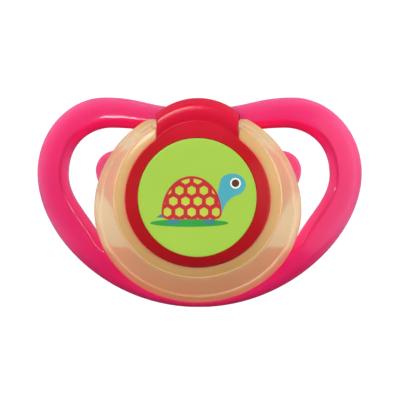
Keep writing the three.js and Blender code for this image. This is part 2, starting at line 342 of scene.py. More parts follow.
def settle(field, points, step, rounds=4):
    """Moves points along the field's slope until they lie on its zero surface."""
    for _ in range(rounds):
        slope = gradient(field, points)
        length = np.maximum((slope ** 2).sum(axis=1), 0.05)
        move = -(field(*points.T) / length)[:, None] * slope
        points = points + np.clip(move, -step / 2, step / 2)
    return points


# ---------------------------------------------------------------- Blender objects
def add_object(name, vertices, faces, body, node=None, attributes=None, normals=None):
    """A mesh given in millimetres, riding on a body and standing for a CAD node."""
    mesh = bpy.data.meshes.new(name)
    mesh.from_pydata((np.asarray(vertices) * MM).tolist(), [], [list(face) for face in faces])
    for key, values in (attributes or {}).items():
        layer = mesh.attributes.new(key, "FLOAT", "POINT")
        layer.data.foreach_set("value", np.asarray(values, np.float32))
    mesh.shade_smooth()
    if normals is not None:
        lengths = np.linalg.norm(normals, axis=1, keepdims=True)
        mesh.normals_split_custom_set_from_vertices((normals / np.maximum(lengths, 1e-6)).tolist())
    piece = bpy.data.objects.new(name, mesh)
    bpy.context.scene.collection.objects.link(piece)
    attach(piece, body)
    if node:
        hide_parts(node)
    return piece


def bend(points, normals):
    """The shield's sides sweep back around the mouth; the normals turn with them."""
    beyond = np.maximum(np.abs(points[:, 0]) - BEND_START, 0)
    bent, turned_normals = points.copy(), normals.copy()
    bent[:, 1] += beyond ** 2 / (2 * BEND_RADIUS)
    turned_normals[:, 0] -= np.sign(points[:, 0]) * beyond / BEND_RADIUS * normals[:, 1]
    return bent, turned_normals


# ---------------------------------------------------------------- shield
def frame_outline():
    """The shield's heart shape, from the dip over a lobe and the widest place to the chin."""
    return mirrored(
        bezier((0, DIP_Z), (10, DIP_Z), (LOBE[0] - 7.9, LOBE[1]), LOBE),
        bezier(LOBE, (LOBE[0] + 7, LOBE[1]), (WIDEST[0], WIDEST[1] + 8.55), WIDEST),
        bezier(WIDEST, (WIDEST[0], WIDEST[1] - 12.2), (18, CHIN_Z), (0, CHIN_Z), 90),
    )


def opening_outline():
    """Both openings as one shape, which the hub and the ears close again in the middle."""
    (tx, tz), (sx, sz), (cx, cz), (bx, bz) = OPENING_TOP, OPENING_SIDE, OPENING_CORNER, OPENING_BOTTOM
    return mirrored(
        bezier((0, OPENING_TOP_MIDDLE), (8, OPENING_TOP_MIDDLE), (tx - 5, tz), (tx, tz)),
        bezier((tx, tz), (tx + 3.4, tz), (sx, sz + 6.9), (sx, sz)),
        bezier((sx, sz), (sx, sz - 4.4), (cx + 2.3, cz + 4.1), (cx, cz)),
        bezier((cx, cz), (cx - 1, cz - 1.8), (bx + 1.3, bz), (bx, bz), 30),
        np.array([[5, bz]]),
    )


def ear_outline():
    """The two ears as one shape: round on top, and drawn in towards the hub below."""
    foot_x, foot_z = EAR_FOOT
    shoulder = (EAR_REACH, EAR_TOP - EAR_RADIUS)
    under_hub = np.array([[0, foot_z - 10], [foot_x - 3, foot_z - 4]])
    over_hub = np.array([[0, EAR_TOP + 0.4]])
    return mirrored(
        under_hub,
        bezier(EAR_FOOT, (foot_x + 2.4, foot_z + 3.6), (EAR_REACH, shoulder[1] - 2.6), shoulder, 30),
        arc((EAR_REACH - EAR_RADIUS, shoulder[1]), (EAR_RADIUS, EAR_RADIUS), 0, 90, 30),
        over_hub,
    )


def make_shield():
    """A frame with a ridge near its inner edge, a hub plate with two ears, and the collar for the cover."""
    outer = DistanceMap(frame_outline())
    opening = DistanceMap(opening_outline(), margin=9)
    ears = DistanceMap(ear_outline(), margin=14)
    neck = DistanceMap(neck_outline(), margin=26)

    def field(x, y, z):
        inward = -outer(x, z)
        band = opening(x, z)
        radius = np.hypot(x, z)
        narrowest = 0.6
        width = np.maximum(inward + band - CHAMFER, narrowest)
        fall = RIDGE_FALL / width
        bead = (FRAME_FRONT + fall * (width - inward) - y) / np.hypot(1, fall)
        bead = smooth_max(smooth_max(bead, -inward - 0.2, RIM_EDGE), y - FRAME_BACK, RIM_EDGE)
        crest = FRAME_FRONT + FACET_DROP - y
        slope = SIDE_CHAMFER_SLOPE + (TOP_CHAMFER_SLOPE - SIDE_CHAMFER_SLOPE) * smooth_step(6, 12, z)
        chamfer = (crest + (CHAMFER - band) * slope) / np.hypot(1, slope)
        facet = (crest + (band - CHAMFER) * FACET_SLOPE) / math.hypot(1, FACET_SLOPE)
        rim = smooth_max(smooth_max(bead, facet, FACET_EDGE), chamfer, CHAMFER_EDGE)
        rim = smooth_max(rim, -band, OPENING_EDGE)
        hub = smooth_min(radius - HUB_RADIUS, ears(x, z), EAR_FILLET)
        hub = slab(hub, y, HUB_FRONT, HUB_BACK, HUB_EDGE)
        collar = np.abs(radius - COLLAR_RADIUS) - COLLAR_HALF_WALL
        collar = slab(collar, y, COLLAR_FRONT, HUB_FRONT + COLLAR_SUNK, COLLAR_EDGE)
        seat = np.maximum(radius - SEAT_RADIUS, y - HUB_FRONT)
        pocket = np.maximum(neck(x, z) - SNUG_GAP, OPENING_TOP_MIDDLE - POCKET_DEPTH - z)
        pocket = np.maximum(pocket, y - NECK_BACK - GAP)
        body = smooth_max(smooth_min(rim, hub, HUB_FILLET), -seat, SEAT_EDGE)
        body = smooth_max(np.minimum(body, collar), -pocket, POCKET_EDGE)
        return smooth_max(body, TEAT_HOLE_RADIUS - radius, TEAT_HOLE_EDGE)

    high = (SHIELD_HIGH[0], FRAME_BACK, SHIELD_HIGH[2])
    vertices, faces = skin(field, SHIELD_LOW, high, SHIELD_STEP)
    x, z = vertices[:, 0], vertices[:, 2]
    from_opening = opening(x, z)
    # How much of each painted light in pink() a point gets: a painted pale glow along the thin edges that
    # fades out towards the bottom, a painted glow in the chamfer's top, and painted shade along the crease
    # and on the ears
    # Painted glow: paler colour along the outer edge and, at the sides, along the inner edge, fading out
    # towards the bottom
    outer_edge_painted_light = np.exp(outer(x, z) / 1.1)
    inner_edge_painted_light = 0.7 * np.exp(-from_opening / 0.8) * smooth_step(11, 7, z)
    thin = (0.06 + 0.94 * np.maximum(outer_edge_painted_light, inner_edge_painted_light)) * smooth_step(-15, -5, z)
    # Painted glow: brighter, deeper red in the chamfer along the top of the openings, where it faces down
    painted_chamfer_glow = smooth_step(CHAMFER + 0.2, CHAMFER - 0.2, from_opening) * smooth_step(9.5, 13, z)
    # Painted shade: a dark line along the crease at the sides, and darker ears
    crease = 0.75 * np.exp(-((from_opening - CHAMFER) / 0.25) ** 2) * smooth_step(14, 12, z)
    painted_ear_shade = smooth_step(HUB_RADIUS, HUB_RADIUS + 1, np.hypot(x, z)) * (from_opening < -0.3)
    crease = np.maximum(crease, 0.4 * painted_ear_shade)
    shades = {"thin": thin, "painted_chamfer_glow": painted_chamfer_glow, "crease": crease}
    bent, normals = bend(vertices, gradient(field, vertices))
    add_object("shield_moulding", bent, faces, "root", "shield", shades, normals)


# ---------------------------------------------------------------- front cover
def oval(radius, chin, drop):
    """Round above its middle, and a little longer or shorter below it."""
    return mirrored(
        arc((0, -drop), (radius, chin), -90, 0, 120),
        arc((0, -drop), (radius, radius), 0, 90, 120),
    )


def disc_outline():
    return oval(COVER_RADIUS, COVER_CHIN, COVER_DROP)


def neck_outline():
    """Straight sides under an arched top."""
    reach = math.degrees(math.asin(NECK_TOP_HALF_WIDTH / NECK_TOP_RADIUS))
    return mirrored(
        np.array([[NECK_HALF_WIDTH, z] for z in NECK_SIDE]),
        arc((0, NECK_TOP - NECK_TOP_RADIUS), (NECK_TOP_RADIUS, NECK_TOP_RADIUS), 90 - reach, 90, 50),
    )


def circle_height(centre_z, radius, x):
    """Where a circle around (0, centre_z) is highest at each x."""
    return centre_z + np.sqrt(np.maximum(radius ** 2 - x ** 2, 1))


def make_cover():
    """A disc with a sloping rim and a label recess, and a barrel-shaped neck with the hinge bores."""
    disc = DistanceMap(disc_outline(), margin=8)
    neck = DistanceMap(neck_outline(), margin=24)

    def field(x, y, z):
        radius = np.hypot(x, z)
        crown = np.hypot(x, z - CROWN[0]) - CROWN[1]
        plate = smooth_min(disc(x, z), np.maximum(crown, np.abs(x) - NECK_HALF_WIDTH), COVER_EDGE)
        outward = np.maximum(radius - LABEL_RADIUS, 0)
        narrowest = 0.3
        cone = -LABEL_LIP + RIM_DEPTH * outward / np.maximum(outward - plate, narrowest)
        plate = smooth_max(plate, cone - y, COVER_EDGE)
        crease = circle_height(*CROWN, x)
        top = circle_height(NECK_TOP - NECK_TOP_RADIUS, NECK_TOP_RADIUS, x)
        up = (z - crease) / (top - crease)
        barrel = NECK_FRONT + NECK_BULGE * (up - NECK_CREST_SHARE) ** 2
        top_face = barrel + LIP_SLOPE * (up - LIP_SHARE)
        key = smooth_max(neck(x, z), smooth_max(barrel, top_face, LIP_EDGE) - y, COVER_EDGE)
        back = COVER_BACK + (NECK_BACK - COVER_BACK) * smooth_step(*BACK_STEP, z)
        shell = smooth_max(smooth_min(plate, key, COVER_EDGE), y - back, COVER_EDGE)
        hollow = np.maximum(np.hypot(x, z + COVER_DROP) - COVER_RADIUS + COVER_WALL, COVER_FLOOR - y)
        slot = np.maximum(np.abs(x) - NECK_HALF_WIDTH + NECK_CHEEK, SLOT_FRONT - y)
        slot = np.maximum(slot, np.maximum(NECK_ROOT - z, z - top + SLOT_ROOF))
        recess = np.maximum(radius - LABEL_RADIUS - SNUG_GAP, y - LABEL_BACK - GAP)
        bore = BORE_RADIUS - np.hypot(y - HINGE[1], z - HINGE[2])
        shell = smooth_max(shell, -smooth_min(hollow, slot, COVER_EDGE), CAVITY_EDGE)
        shell = smooth_max(shell, -recess, RECESS_EDGE)
        return smooth_max(shell, bore, CAVITY_EDGE)

    vertices, faces = skin(field, COVER_LOW, COVER_HIGH, FINE_STEP)
    normals = gradient(field, vertices)
    add_object("cover_moulding", vertices, faces, "root", "front_cover", normals=normals)


# ---------------------------------------------------------------- ring handle
def ring_outline():
    """An open ring: each end has a small corner beside the neck and a larger one outside."""
    face = NECK_HALF_WIDTH + SNUG_GAP
    corner, shoulder = TIP_CORNER, TIP_SHOULDER
    shoulder_z = RING_TOP - shoulder
    shoulder_x = math.sqrt((RING_RADIUS - shoulder) ** 2 - (shoulder_z + RING_DROP) ** 2)
    end_angle = math.degrees(math.atan2(shoulder_z + RING_DROP, shoulder_x))
    inner = COVER_RADIUS + GAP
    inner_angle = math.degrees(math.acos(face / inner))
    return mirrored(
        arc((0, -COVER_DROP), (inner, COVER_CHIN + CHIN_GAP), -90, 0, 100),
        arc((0, -COVER_DROP), (inner, inner), 0, inner_angle, 60),
        arc((face + corner, RING_TOP - corner), (corner, corner), 180, 90, 10),
        arc((shoulder_x, shoulder_z), (shoulder, shoulder), 90, end_angle, 10),
        arc((0, -RING_DROP), (RING_RADIUS, RING_RADIUS), end_angle, 0, 70),
        arc((0, -RING_DROP), (RING_RADIUS, RING_CHIN), 0, -90, 110),
    )


def make_ring():
    """A thick band beside the cover, a thinner flange outside it, and two pins that reach into the neck."""
    whole = DistanceMap(ring_outline(), margin=3)
    outer = DistanceMap(oval(RING_RADIUS, RING_CHIN, RING_DROP), margin=3)
    inner = DistanceMap(disc_outline(), margin=9)

    def thin(x, z):
        """0 on the thick band beside the cover, 1 on the thinner flange outside it."""
        blur = 0.12
        return smooth_step(BAND_WIDTH - blur, BAND_WIDTH + blur, inner(x, z) - GAP)

    def clearance(x, y, z):
        """Positive where the tips would meet the cover: beside its neck, or at its rim as they swing."""
        corner_fillet, tip_foot, never = 0.6, 2, -1
        neck_side = np.maximum(np.abs(x) - NECK_HALF_WIDTH, NECK_ROOT - z)
        corner = SNUG_GAP - smooth_min(inner(x, z), neck_side, corner_fillet)
        fillet = 0.15 * smooth_step(NECK_HALF_WIDTH + 0.95, NECK_HALF_WIDTH + 0.15, np.abs(x))
        rim = circle_height(-COVER_DROP, COVER_RADIUS, x) + fillet
        swing = np.hypot(y - HINGE[1], z - HINGE[2]) - (HINGE[2] - rim - GAP)
        return np.maximum(corner, np.where((y > HINGE[1]) & (z > tip_foot), swing, never))

    def field(x, y, z):
        flange = thin(x, z)
        inward = -outer(x, z)
        across = np.clip((inner(x, z) - GAP) / BAND_WIDTH, 0, 1)
        crown = BAND_CROWN * across ** 2 - BAND_RIDGE * np.exp(-((across - 0.93) / 0.06) ** 2)
        bevel = BEVEL_SLOPE * smooth_max(RIM_BEVEL - inward, 0, 0.3)
        bead = BEAD_HEIGHT * np.exp(-((inward - RIM_BEVEL) / 0.22) ** 2)
        dome = FLANGE_DOME * np.maximum(inner(x, z) - GAP - BAND_WIDTH, 0)
        front = BAND_FRONT + (FLANGE_FRONT - BAND_FRONT) * flange + crown * (1 - flange) + bevel - bead + dome
        back = BAND_BACK + (FLANGE_BACK - BAND_BACK) * flange
        draft_start, beside_cover = 2.8, inner(x, z) < 2
        edge = whole(x, z) + TIP_DRAFT * smooth_step(draft_start, BAND_BACK, y) * beside_cover
        edge = np.maximum(edge, clearance(x, y, z))
        rounding = 0.12 + 0.23 * smooth_step(0, 1, inner(x, z))
        plate = smooth_max(smooth_max(edge, front - y, rounding), y - back, RING_BACK_EDGE)
        pin = np.hypot(y - HINGE[1], z - HINGE[2]) - PIN_RADIUS
        reach = np.maximum(PIN_TIP - np.abs(x), np.abs(x) - PIN_ROOT)
        return smooth_min(plate, smooth_max(pin, reach, PIN_EDGE), PIN_FILLET)

    vertices, faces = skin(field, RING_LOW, RING_HIGH, FINE_STEP)
    x, z = vertices[:, 0], vertices[:, 2]
    out = inner(x, z) - GAP
    # How much of each colour in amber() a point gets, from 0 to 1: the band's own deeper tint, painted
    # highlight lines along the step and the bevel, stronger towards the bottom, and a painted reddish
    # reflection along the inner edge and the lower outer edge
    # Painted highlights: pale lines along the band's step and the flange's bevel, stronger towards the bottom
    step_line = np.exp(-((out - BAND_WIDTH) / 0.25) ** 2)
    bevel_line = np.exp(-((-outer(x, z) - RIM_BEVEL) / 0.25) ** 2)
    painted_highlight_line = (0.35 + 0.2 * smooth_step(-4, -10, z)) * np.maximum(step_line, bevel_line)
    # Painted reflection: a reddish line along the inner edge beside the cover and along the outer edge at the
    # bottom
    inner_edge_painted_light = np.exp(-(out / 0.32) ** 2)
    outer_edge_painted_light = 0.8 * np.exp(-(outer(x, z) / 0.5) ** 2) * smooth_step(0, -8, z)
    band = np.maximum(1 - thin(x, z), 0.6 * smooth_step(11, 14.5, z))
    shades = {"band": band, "painted_highlight_line": painted_highlight_line, "edge": np.maximum(inner_edge_painted_light, outer_edge_painted_light)}
    normals = gradient(field, vertices)
    name, body, slot, node = "ring_moulding", "handle", "ring_amber", "ring_handle"
    ring = add_object(name, vertices, faces, body, node, shades, normals)
    ring.visible_shadow = False


# ---------------------------------------------------------------- label, prints, plug and teat
def tube(rings, sides, first, last):
    """Skin over elliptical rings (y, middle z, half width, half height), closed by a fan at each end."""
    angle = np.linspace(0, 2 * math.pi, sides, endpoint=False)
    vertices = [(a * math.cos(t), y, z + b * math.sin(t)) for y, z, a, b in rings for t in angle]
    start, end = len(vertices), len(vertices) + 1
    vertices += [first, last]
    last_ring = (len(rings) - 1) * sides
    faces = []
    for side in range(sides):
        after = (side + 1) % sides
        faces.append((start, side, after))
        for low in range(0, last_ring, sides):
            high = low + sides
            faces.append((low + side, high + side, high + after, low + after))
        faces.append((end, last_ring + after, last_ring + side))
    return vertices, faces


def turned(profile, sides):
    """A profile of (radius, y) points turned about the Y axis; both ends are on the axis."""
    rings = [(y, 0, radius, radius) for radius, y in profile[1:-1]]
    return tube(rings, sides, (0, profile[0][1], 0), (0, profile[-1][1], 0))


def make_label():
    """A flat disc with a slightly eased front edge."""
    r, back, edge = LABEL_RADIUS, LABEL_BACK, 0.05
    face = [(r * share, 0) for share in (0.25, 0.5, 0.75, 0.95)]
    eased = [(r - edge, 0), (r - edge * 0.3, edge * 0.3), (r, edge)]
    profile = [(0, 0), *face, *eased, (r, back), (r - 1, back), (0, back)]
    vertices, faces = turned(profile, 160)
    add_object("label_disc_moulding", vertices, faces, "root", "label_disc")


def make_plug():
    """A disc with a hollow stem, which is closed near its far end."""
    front, back = PLUG_LOW[1], PLUG_HIGH[1]
    r, stem, bore, edge = PLUG_HIGH[0], 4.9, 3.4, 0.25
    disc_back, stem_taper, bore_end = front + 1.0, back - 1.4, back - 1.2
    profile = [
        (0, bore_end), (bore - edge, bore_end), (bore, bore_end - edge), (bore, front + edge),
        (bore + edge, front), (r - edge, front), (r, front + edge), (r, disc_back - edge),
        (r - edge, disc_back), (stem + edge, disc_back), (stem, disc_back + edge), (stem, stem_taper),
        (stem - 0.5, back), (0, back),
    ]
    vertices, faces = turned(profile, 96)
    add_object("plug_moulding", vertices, faces, "root", "teat_plug")


# Rows of y, middle z, half width and half height, from the base to the tip
TEAT_SECTIONS = [
    (8.6, 0, 7.3, 7.3), (11, 0.1, 6.5, 6.1), (14, 0.2, 5.9, 5), (17, 0.5, 6.1, 4.8), (20, 1, 7.2, 5.4),
    (23.5, 1.7, 8.4, 6.2), (27, 2.4, 8.5, 6), (30, 3, 7.4, 4.9), (32.3, 3.4, 5.3, 3.3), (33.6, 3.6, 2.8, 1.7),
]


def spline(points, count):
    """Catmull-Rom curve through rows of numbers."""
    points = np.array(points, float)
    padded = np.vstack([2 * points[0] - points[1], points, 2 * points[-1] - points[-2]])
    rows = []
    for place in np.linspace(0, len(points) - 1, count):
        i = min(int(place), len(points) - 2)
        t = place - i
        a, b, c, d = padded[i:i + 4]
        slope, curve, twist = c - a, 2 * a - 5 * b + 4 * c - d, 3 * b - a - 3 * c + d
        rows.append(0.5 * (2 * b + slope * t + curve * t ** 2 + twist * t ** 3))
    return np.array(rows)


def make_teat():
    """An orthodontic teat with an even wall, open at its base, where a flange surrounds it."""
    wall, edge = 1.5, 0.3
    front, flange_back, flange_r, neck_r = TEAT_LOW[1], 5.1, TEAT_HIGH[0], 7.3
    tip_y, tip_z = TEAT_HIGH[1], 3.65
    outside = spline(TEAT_SECTIONS, 60)
    inside = spline(TEAT_SECTIONS[:-1], 50) - (0, 0, wall, wall)
    flange = [
        (neck_r - wall, front + edge), (neck_r - wall + edge, front), (flange_r - edge, front),
        (flange_r, front + edge), (flange_r, flange_back - edge), (flange_r - edge, flange_back),
        (neck_r + edge, flange_back), (neck_r, flange_back + edge), (neck_r, flange_back + 1.5),
    ]
    flange_rings = [(y, 0, radius, radius) for radius, y in flange]
    near_tip = [(tip_y - 0.05, tip_z - 0.005, 1.2, 0.75)]
    rings = np.vstack([inside[::-1], flange_rings, outside, near_tip])
    vertices, faces = tube(rings, 96, (0, tip_y - wall, tip_z), (0, tip_y, tip_z))
    add_object("teat_skin", vertices, faces, "root", "teat")


def add_print(name, outlines, layer):
    """Flat printed shapes: closed outlines in X and Z, raised by a layer of ink in front of the label."""
    sunk = 0.05
    vertices, faces = [], []
    for outline in outlines:
        count, base = len(outline), len(vertices)
        for y in (-layer, sunk):
            vertices += [(x, y, z) for x, z in outline]
        faces.append(tuple(base + i for i in range(count)))
        faces.append(tuple(base + count + i for i in reversed(range(count))))
        for i in range(count):
            after = (i + 1) % count
            faces.append((base + after, base + i, base + count + i, base + count + after))
    piece = add_object(name, vertices, faces, "root")
    piece.data.polygons.foreach_set("use_smooth", [False] * len(piece.data.polygons))


def left_of(a, b, p):
    """Positive where p lies to the left of the line from a to b."""
    return (b[0] - a[0]) * (p[1] - a[1]) - (b[1] - a[1]) * (p[0] - a[0])


def clipped(outline, keep):
    """The part of a convex outline inside an anticlockwise convex one."""
    for a, b in zip(keep, np.roll(keep, -1, axis=0)):
        result = []
        for p, q in zip(outline, np.roll(outline, -1, axis=0)):
            here, there = left_of(a, b, p), left_of(a, b, q)
            if here >= 0:
                result.append(p)
            if (here >= 0) != (there >= 0):
                result.append(p + (q - p) * here / (here - there))
        if not result:
            return np.zeros((0, 2))
        outline = np.array(result)
    return outline


def ellipse(centre, radii, count):
    """A closed ellipse with count points."""
    return arc(centre, radii, 0, 360, count + 1)[:-1]


def make_prints():
    """A plain tortoise: domed shell with hexagonal scutes, head, feet, tail and a strip of grass."""
    shell_centre = np.array([-1.1, -3.0])
    eye_centre = (7.5, 2.8)
    dome = np.vstack([
        arc(shell_centre, (5.9, 7.2), 0, 180, 60),
        arc(shell_centre + (-4.5, 0), (1.4, 1.3), 180, 270, 12),
        arc(shell_centre + (4.5, 0), (1.4, 1.3), 270, 360, 12),
    ])
    inner = (dome - shell_centre) * 0.93 + shell_centre
    size, pitch = 0.92, 2.4
    hexagons = []
    for row in range(-1, 4):
        for column in range(-4, 5):
            centre = shell_centre + ((column + (row % 2) / 2) * pitch, 0.15 + row * pitch * 0.88)
            hexagon = clipped(arc(centre, (size, size), 30, 390, 7)[:-1], inner)
            if len(hexagon) > 2:
                hexagons.append(hexagon)
    head = np.vstack([
        arc((6.9, 2.5), (2.6, 2.2), -70, 150, 40),
        bezier((4.6, 3.4), (4.0, 1.0), (3.6, -1.0), (3.4, -3.4), 12),
        bezier((4.7, -3.6), (5.2, -1.8), (5.8, -0.4), (7.6, 0.4), 12),
    ])
    feet = [ellipse((x, -4.5), (1.15, 0.85), 24) for x in (-4.6, 2.4)]
    tail = np.array([[-6.6, -3.0], [-8.1, -3.9], [-6.0, -4.0]])
    add_print("print_grass", [ellipse((-1.6, -5.0), (7.7, 0.75), 60)], 0.02)
    add_print("print_feet_and_tail", feet + [tail], 0.03)
    add_print("print_head", [head], 0.035)
    add_print("print_shell", [dome], 0.045)
    add_print("print_scutes", hexagons, 0.055)
    add_print("print_eye_ring", [ellipse(eye_centre, (1.05, 1.05), 32)], 0.045)
    add_print("print_eye", [ellipse(eye_centre, (0.75, 0.75), 32)], 0.055)


# ---------------------------------------------------------------- materials
def srgb(text):
    """Linear colour values, with alpha, for six hexadecimal digits."""
    values = [int(text[i:i + 2], 16) / 255 for i in (0, 2, 4)]
    return tuple(v / 12.92 if v <= 0.04045 else ((v + 0.055) / 1.055) ** 2.4 for v in values) + (1.0,)


ORANGE_PEEL = 2600
SLOW_DRIFT = 260


class Nodes:
    """A material whose Principled shader gets a mottled colour, varied roughness and a fine bump."""

    # Places of the colour sockets on a Mix node
    MIX_FACTOR, MIX_FIRST, MIX_SECOND, MIX_COLOUR = 0, 6, 7, 2

    def __init__(self, name):
        self.material = bpy.data.materials.new(name)
        self.material.use_nodes = True
        self.tree = self.material.node_tree
        self.shader = self.tree.nodes["Principled BSDF"]
        self.coordinates = self.add("ShaderNodeTexCoord").outputs["Object"]

    def add(self, kind, **settings):
        node = self.tree.nodes.new(kind)
        for key, value in settings.items():
            if hasattr(node, key):
                setattr(node, key, value)
            else:
                node.inputs[key].default_value = value
        return node

    def link(self, source, target):
        self.tree.links.new(source, target)

    def noise(self, scale, detail=2.0):
        node = self.add("ShaderNodeTexNoise", Scale=scale, Detail=detail)
        self.link(self.coordinates, node.inputs["Vector"])
        return node.outputs["Fac"]

    def attribute(self, name):
        return self.add("ShaderNodeAttribute", attribute_name=name).outputs["Fac"]

    def clouds(self, factor, low, high):
        """A colour that drifts between two close sRGB colours."""
        node = self.add("ShaderNodeValToRGB")
        first, second = node.color_ramp.elements
        first.position, first.color = 0.3, srgb(low)
        second.position, second.color = 0.7, srgb(high)
        self.link(factor, node.inputs["Fac"])
        return node.outputs["Color"]

    def range(self, factor, low, high, start=0.0, stop=1.0):
        node = self.add("ShaderNodeMapRange")
        for name, value in (("From Min", start), ("From Max", stop), ("To Min", low), ("To Max", high)):
            node.inputs[name].default_value = value
        self.link(factor, node.inputs["Value"])
        return node.outputs["Result"]

    def by_height(self, low, high, start, stop):
        """Goes from low at the height start to high at the height stop, both in metres."""
        split = self.add("ShaderNodeSeparateXYZ")
        self.link(self.coordinates, split.inputs["Vector"])
        return self.range(split.outputs["Z"], low, high, start, stop)

    def mix(self, factor, first, second):
        """One colour where factor is 0 and another where it is 1."""
        node = self.add("ShaderNodeMix", data_type="RGBA")
        self.link(factor, node.inputs[self.MIX_FACTOR])
        self.link(first, node.inputs[self.MIX_FIRST])
        self.link(second, node.inputs[self.MIX_SECOND])
        return node.outputs[self.MIX_COLOUR]

    def surface(self, colour, roughness, drift, grain, bump):
        """A colour, roughness that drifts over the surface, and a fine orange-peel."""
        self.link(colour, self.shader.inputs["Base Color"])
        self.link(self.range(self.noise(drift), *roughness), self.shader.inputs["Roughness"])
        node = self.add("ShaderNodeBump", Strength=bump, Distance=0.0001)
        self.link(self.noise(grain, 1), node.inputs["Height"])
        self.link(node.outputs["Normal"], self.shader.inputs["Normal"])

    def set(self, **values):
        for key, value in values.items():
            self.shader.inputs[key.replace("_", " ")].default_value = value


def moulded(name, low, high, roughness, bump=0.04, **values):
    """Moulded plastic: slight colour clouds, roughness that drifts, and a very fine orange-peel."""
    nodes = Nodes(name)
    nodes.surface(nodes.clouds(nodes.noise(90, 3), low, high), roughness, SLOW_DRIFT, ORANGE_PEEL, bump)
    nodes.set(**values)
    return nodes.material


def pink():
    """Pink plastic that light gets into, with painted light: a pale glow on its thin edges, a deep red glow
    in the top chamfer, and shade along the crease and on the ears.
    """
    nodes = Nodes("pink_polypropylene")
    cloud = nodes.noise(90, 3)
    colour = nodes.clouds(cloud, "DC1665", "E11B6A")
    # Painted glow: a paler pink where the mask for the thin edges is set
    colour = nodes.mix(nodes.attribute("thin"), colour, nodes.clouds(cloud, "F0629A", "F4699F"))
    # Painted glow: a deep bright red in the top chamfer
    colour = nodes.mix(nodes.attribute("painted_chamfer_glow"), colour, nodes.clouds(cloud, "FF0A5A", "FF0F60"))
    # Painted shade: a darker pink along the crease and on the ears
    colour = nodes.mix(nodes.attribute("crease"), colour, nodes.clouds(cloud, "B40E48", "BA124C"))
    nodes.surface(colour, (0.13, 0.2), SLOW_DRIFT, ORANGE_PEEL, 0.03)
    nodes.set(IOR=1.5, Subsurface_Weight=1.0, Subsurface_Radius=(1, 0.15, 0.25), Subsurface_Scale=0.004)
    return nodes.material


def red():
    """Red plastic, a little pinker towards the neck."""
    nodes = Nodes("red_polypropylene")
    cloud = nodes.noise(90, 3)
    height = nodes.by_height(0, 1, 0.01, 0.0185)
    colour = nodes.clouds(cloud, "B40E18", "B9121C")
    colour = nodes.mix(height, colour, nodes.clouds(cloud, "DE083C", "E20C40"))
    nodes.surface(colour, (0.15, 0.23), SLOW_DRIFT, ORANGE_PEEL, 0.03)
    nodes.set(IOR=1.5, Specular_IOR_Level=0.3)
    nodes.set(Subsurface_Weight=0.5, Subsurface_Radius=(1, 0.1, 0.15), Subsurface_Scale=0.001)
    return nodes.material


def amber():
    """See-through plastic: clearer in the thin flange than in the band, with painted pale highlight lines,
    painted shade towards the bottom and a painted reddish reflection along its edges.
    """
    nodes = Nodes("amber_plastic")
    cloud = nodes.noise(120, 3)
    thick = nodes.attribute("band")
    # Painted shade: darker and more orange towards the bottom
    low = nodes.by_height(1, 0, -0.019, -0.004)
    painted_bottom_shade = nodes.add("ShaderNodeRGB")
    painted_bottom_shade.outputs["Color"].default_value = (0.79, 0.665, 0.51, 1)
    colour = nodes.clouds(cloud, "DBC4A0", "E0CBA9")
    colour = nodes.mix(thick, colour, nodes.clouds(cloud, "D6B176", "DCB981"))
    colour = nodes.mix(low, colour, painted_bottom_shade.outputs["Color"])
    colour.node.blend_type = "MULTIPLY"
    # Painted highlight for the pale lines, yellower towards the bottom
    painted_line_highlight = nodes.mix(low, nodes.clouds(cloud, "F9E6C6", "FCECD0"), nodes.clouds(cloud, "DCC084", "E2C88E"))
    colour = nodes.mix(nodes.attribute("painted_highlight_line"), colour, painted_line_highlight)
    # Painted reflection: reddish along the edges
    colour = nodes.mix(nodes.attribute("edge"), colour, nodes.clouds(cloud, "F0806A", "F48A74"))
    nodes.surface(colour, (0.16, 0.24), 300, ORANGE_PEEL, 0.02)
    nodes.link(nodes.range(thick, 0.62, 0.15), nodes.shader.inputs["Transmission Weight"])
    nodes.set(IOR=1.49, Subsurface_Weight=0.6, Subsurface_Scale=0.002)
    return nodes.material


def silicone():
    """Clear silicone, a little cloudy."""
    nodes = Nodes("clear_silicone")
    nodes.surface(nodes.clouds(nodes.noise(120, 3), "F2EEE2", "FAF8F2"), (0.16, 0.26), 400, 1800, 0.05)
    nodes.set(IOR=1.41, Transmission_Weight=0.8)
    return nodes.material


def dress():
    """Gives every piece its own material."""
    pieces = bpy.data.objects
    finishes = {
        "shield_moulding": pink(),
        "cover_moulding": red(),
        "label_disc_moulding": moulded("lime_print", "9EC540", "A3C845", (0.42, 0.5), IOR=1.4),
        "plug_moulding": moulded("white_polypropylene", "ECECE8", "F6F6F3", (0.35, 0.45)),
        "ring_moulding": amber(),
        "teat_skin": silicone(),
        "print_grass": moulded("ink_grass", "1B9233", "229C3B", (0.4, 0.5)),
        "print_feet_and_tail": moulded("ink_feet", "2A7880", "30848C", (0.4, 0.5)),
        "print_head": moulded("ink_head", "3C9FAE", "48ACBA", (0.4, 0.5)),
        "print_shell": moulded("ink_shell", "B8101E", "C01826", (0.4, 0.5)),
        "print_scutes": moulded("ink_scutes", "B3C232", "BECD40", (0.4, 0.5)),
        "print_eye_ring": moulded("ink_eye_ring", "F4EED8", "FAF6E6", (0.4, 0.5)),
        "print_eye": moulded("ink_eye", "46250E", "543016", (0.4, 0.5)),
    }
    for name, material in finishes.items():
        pieces[name].data.materials.append(material)


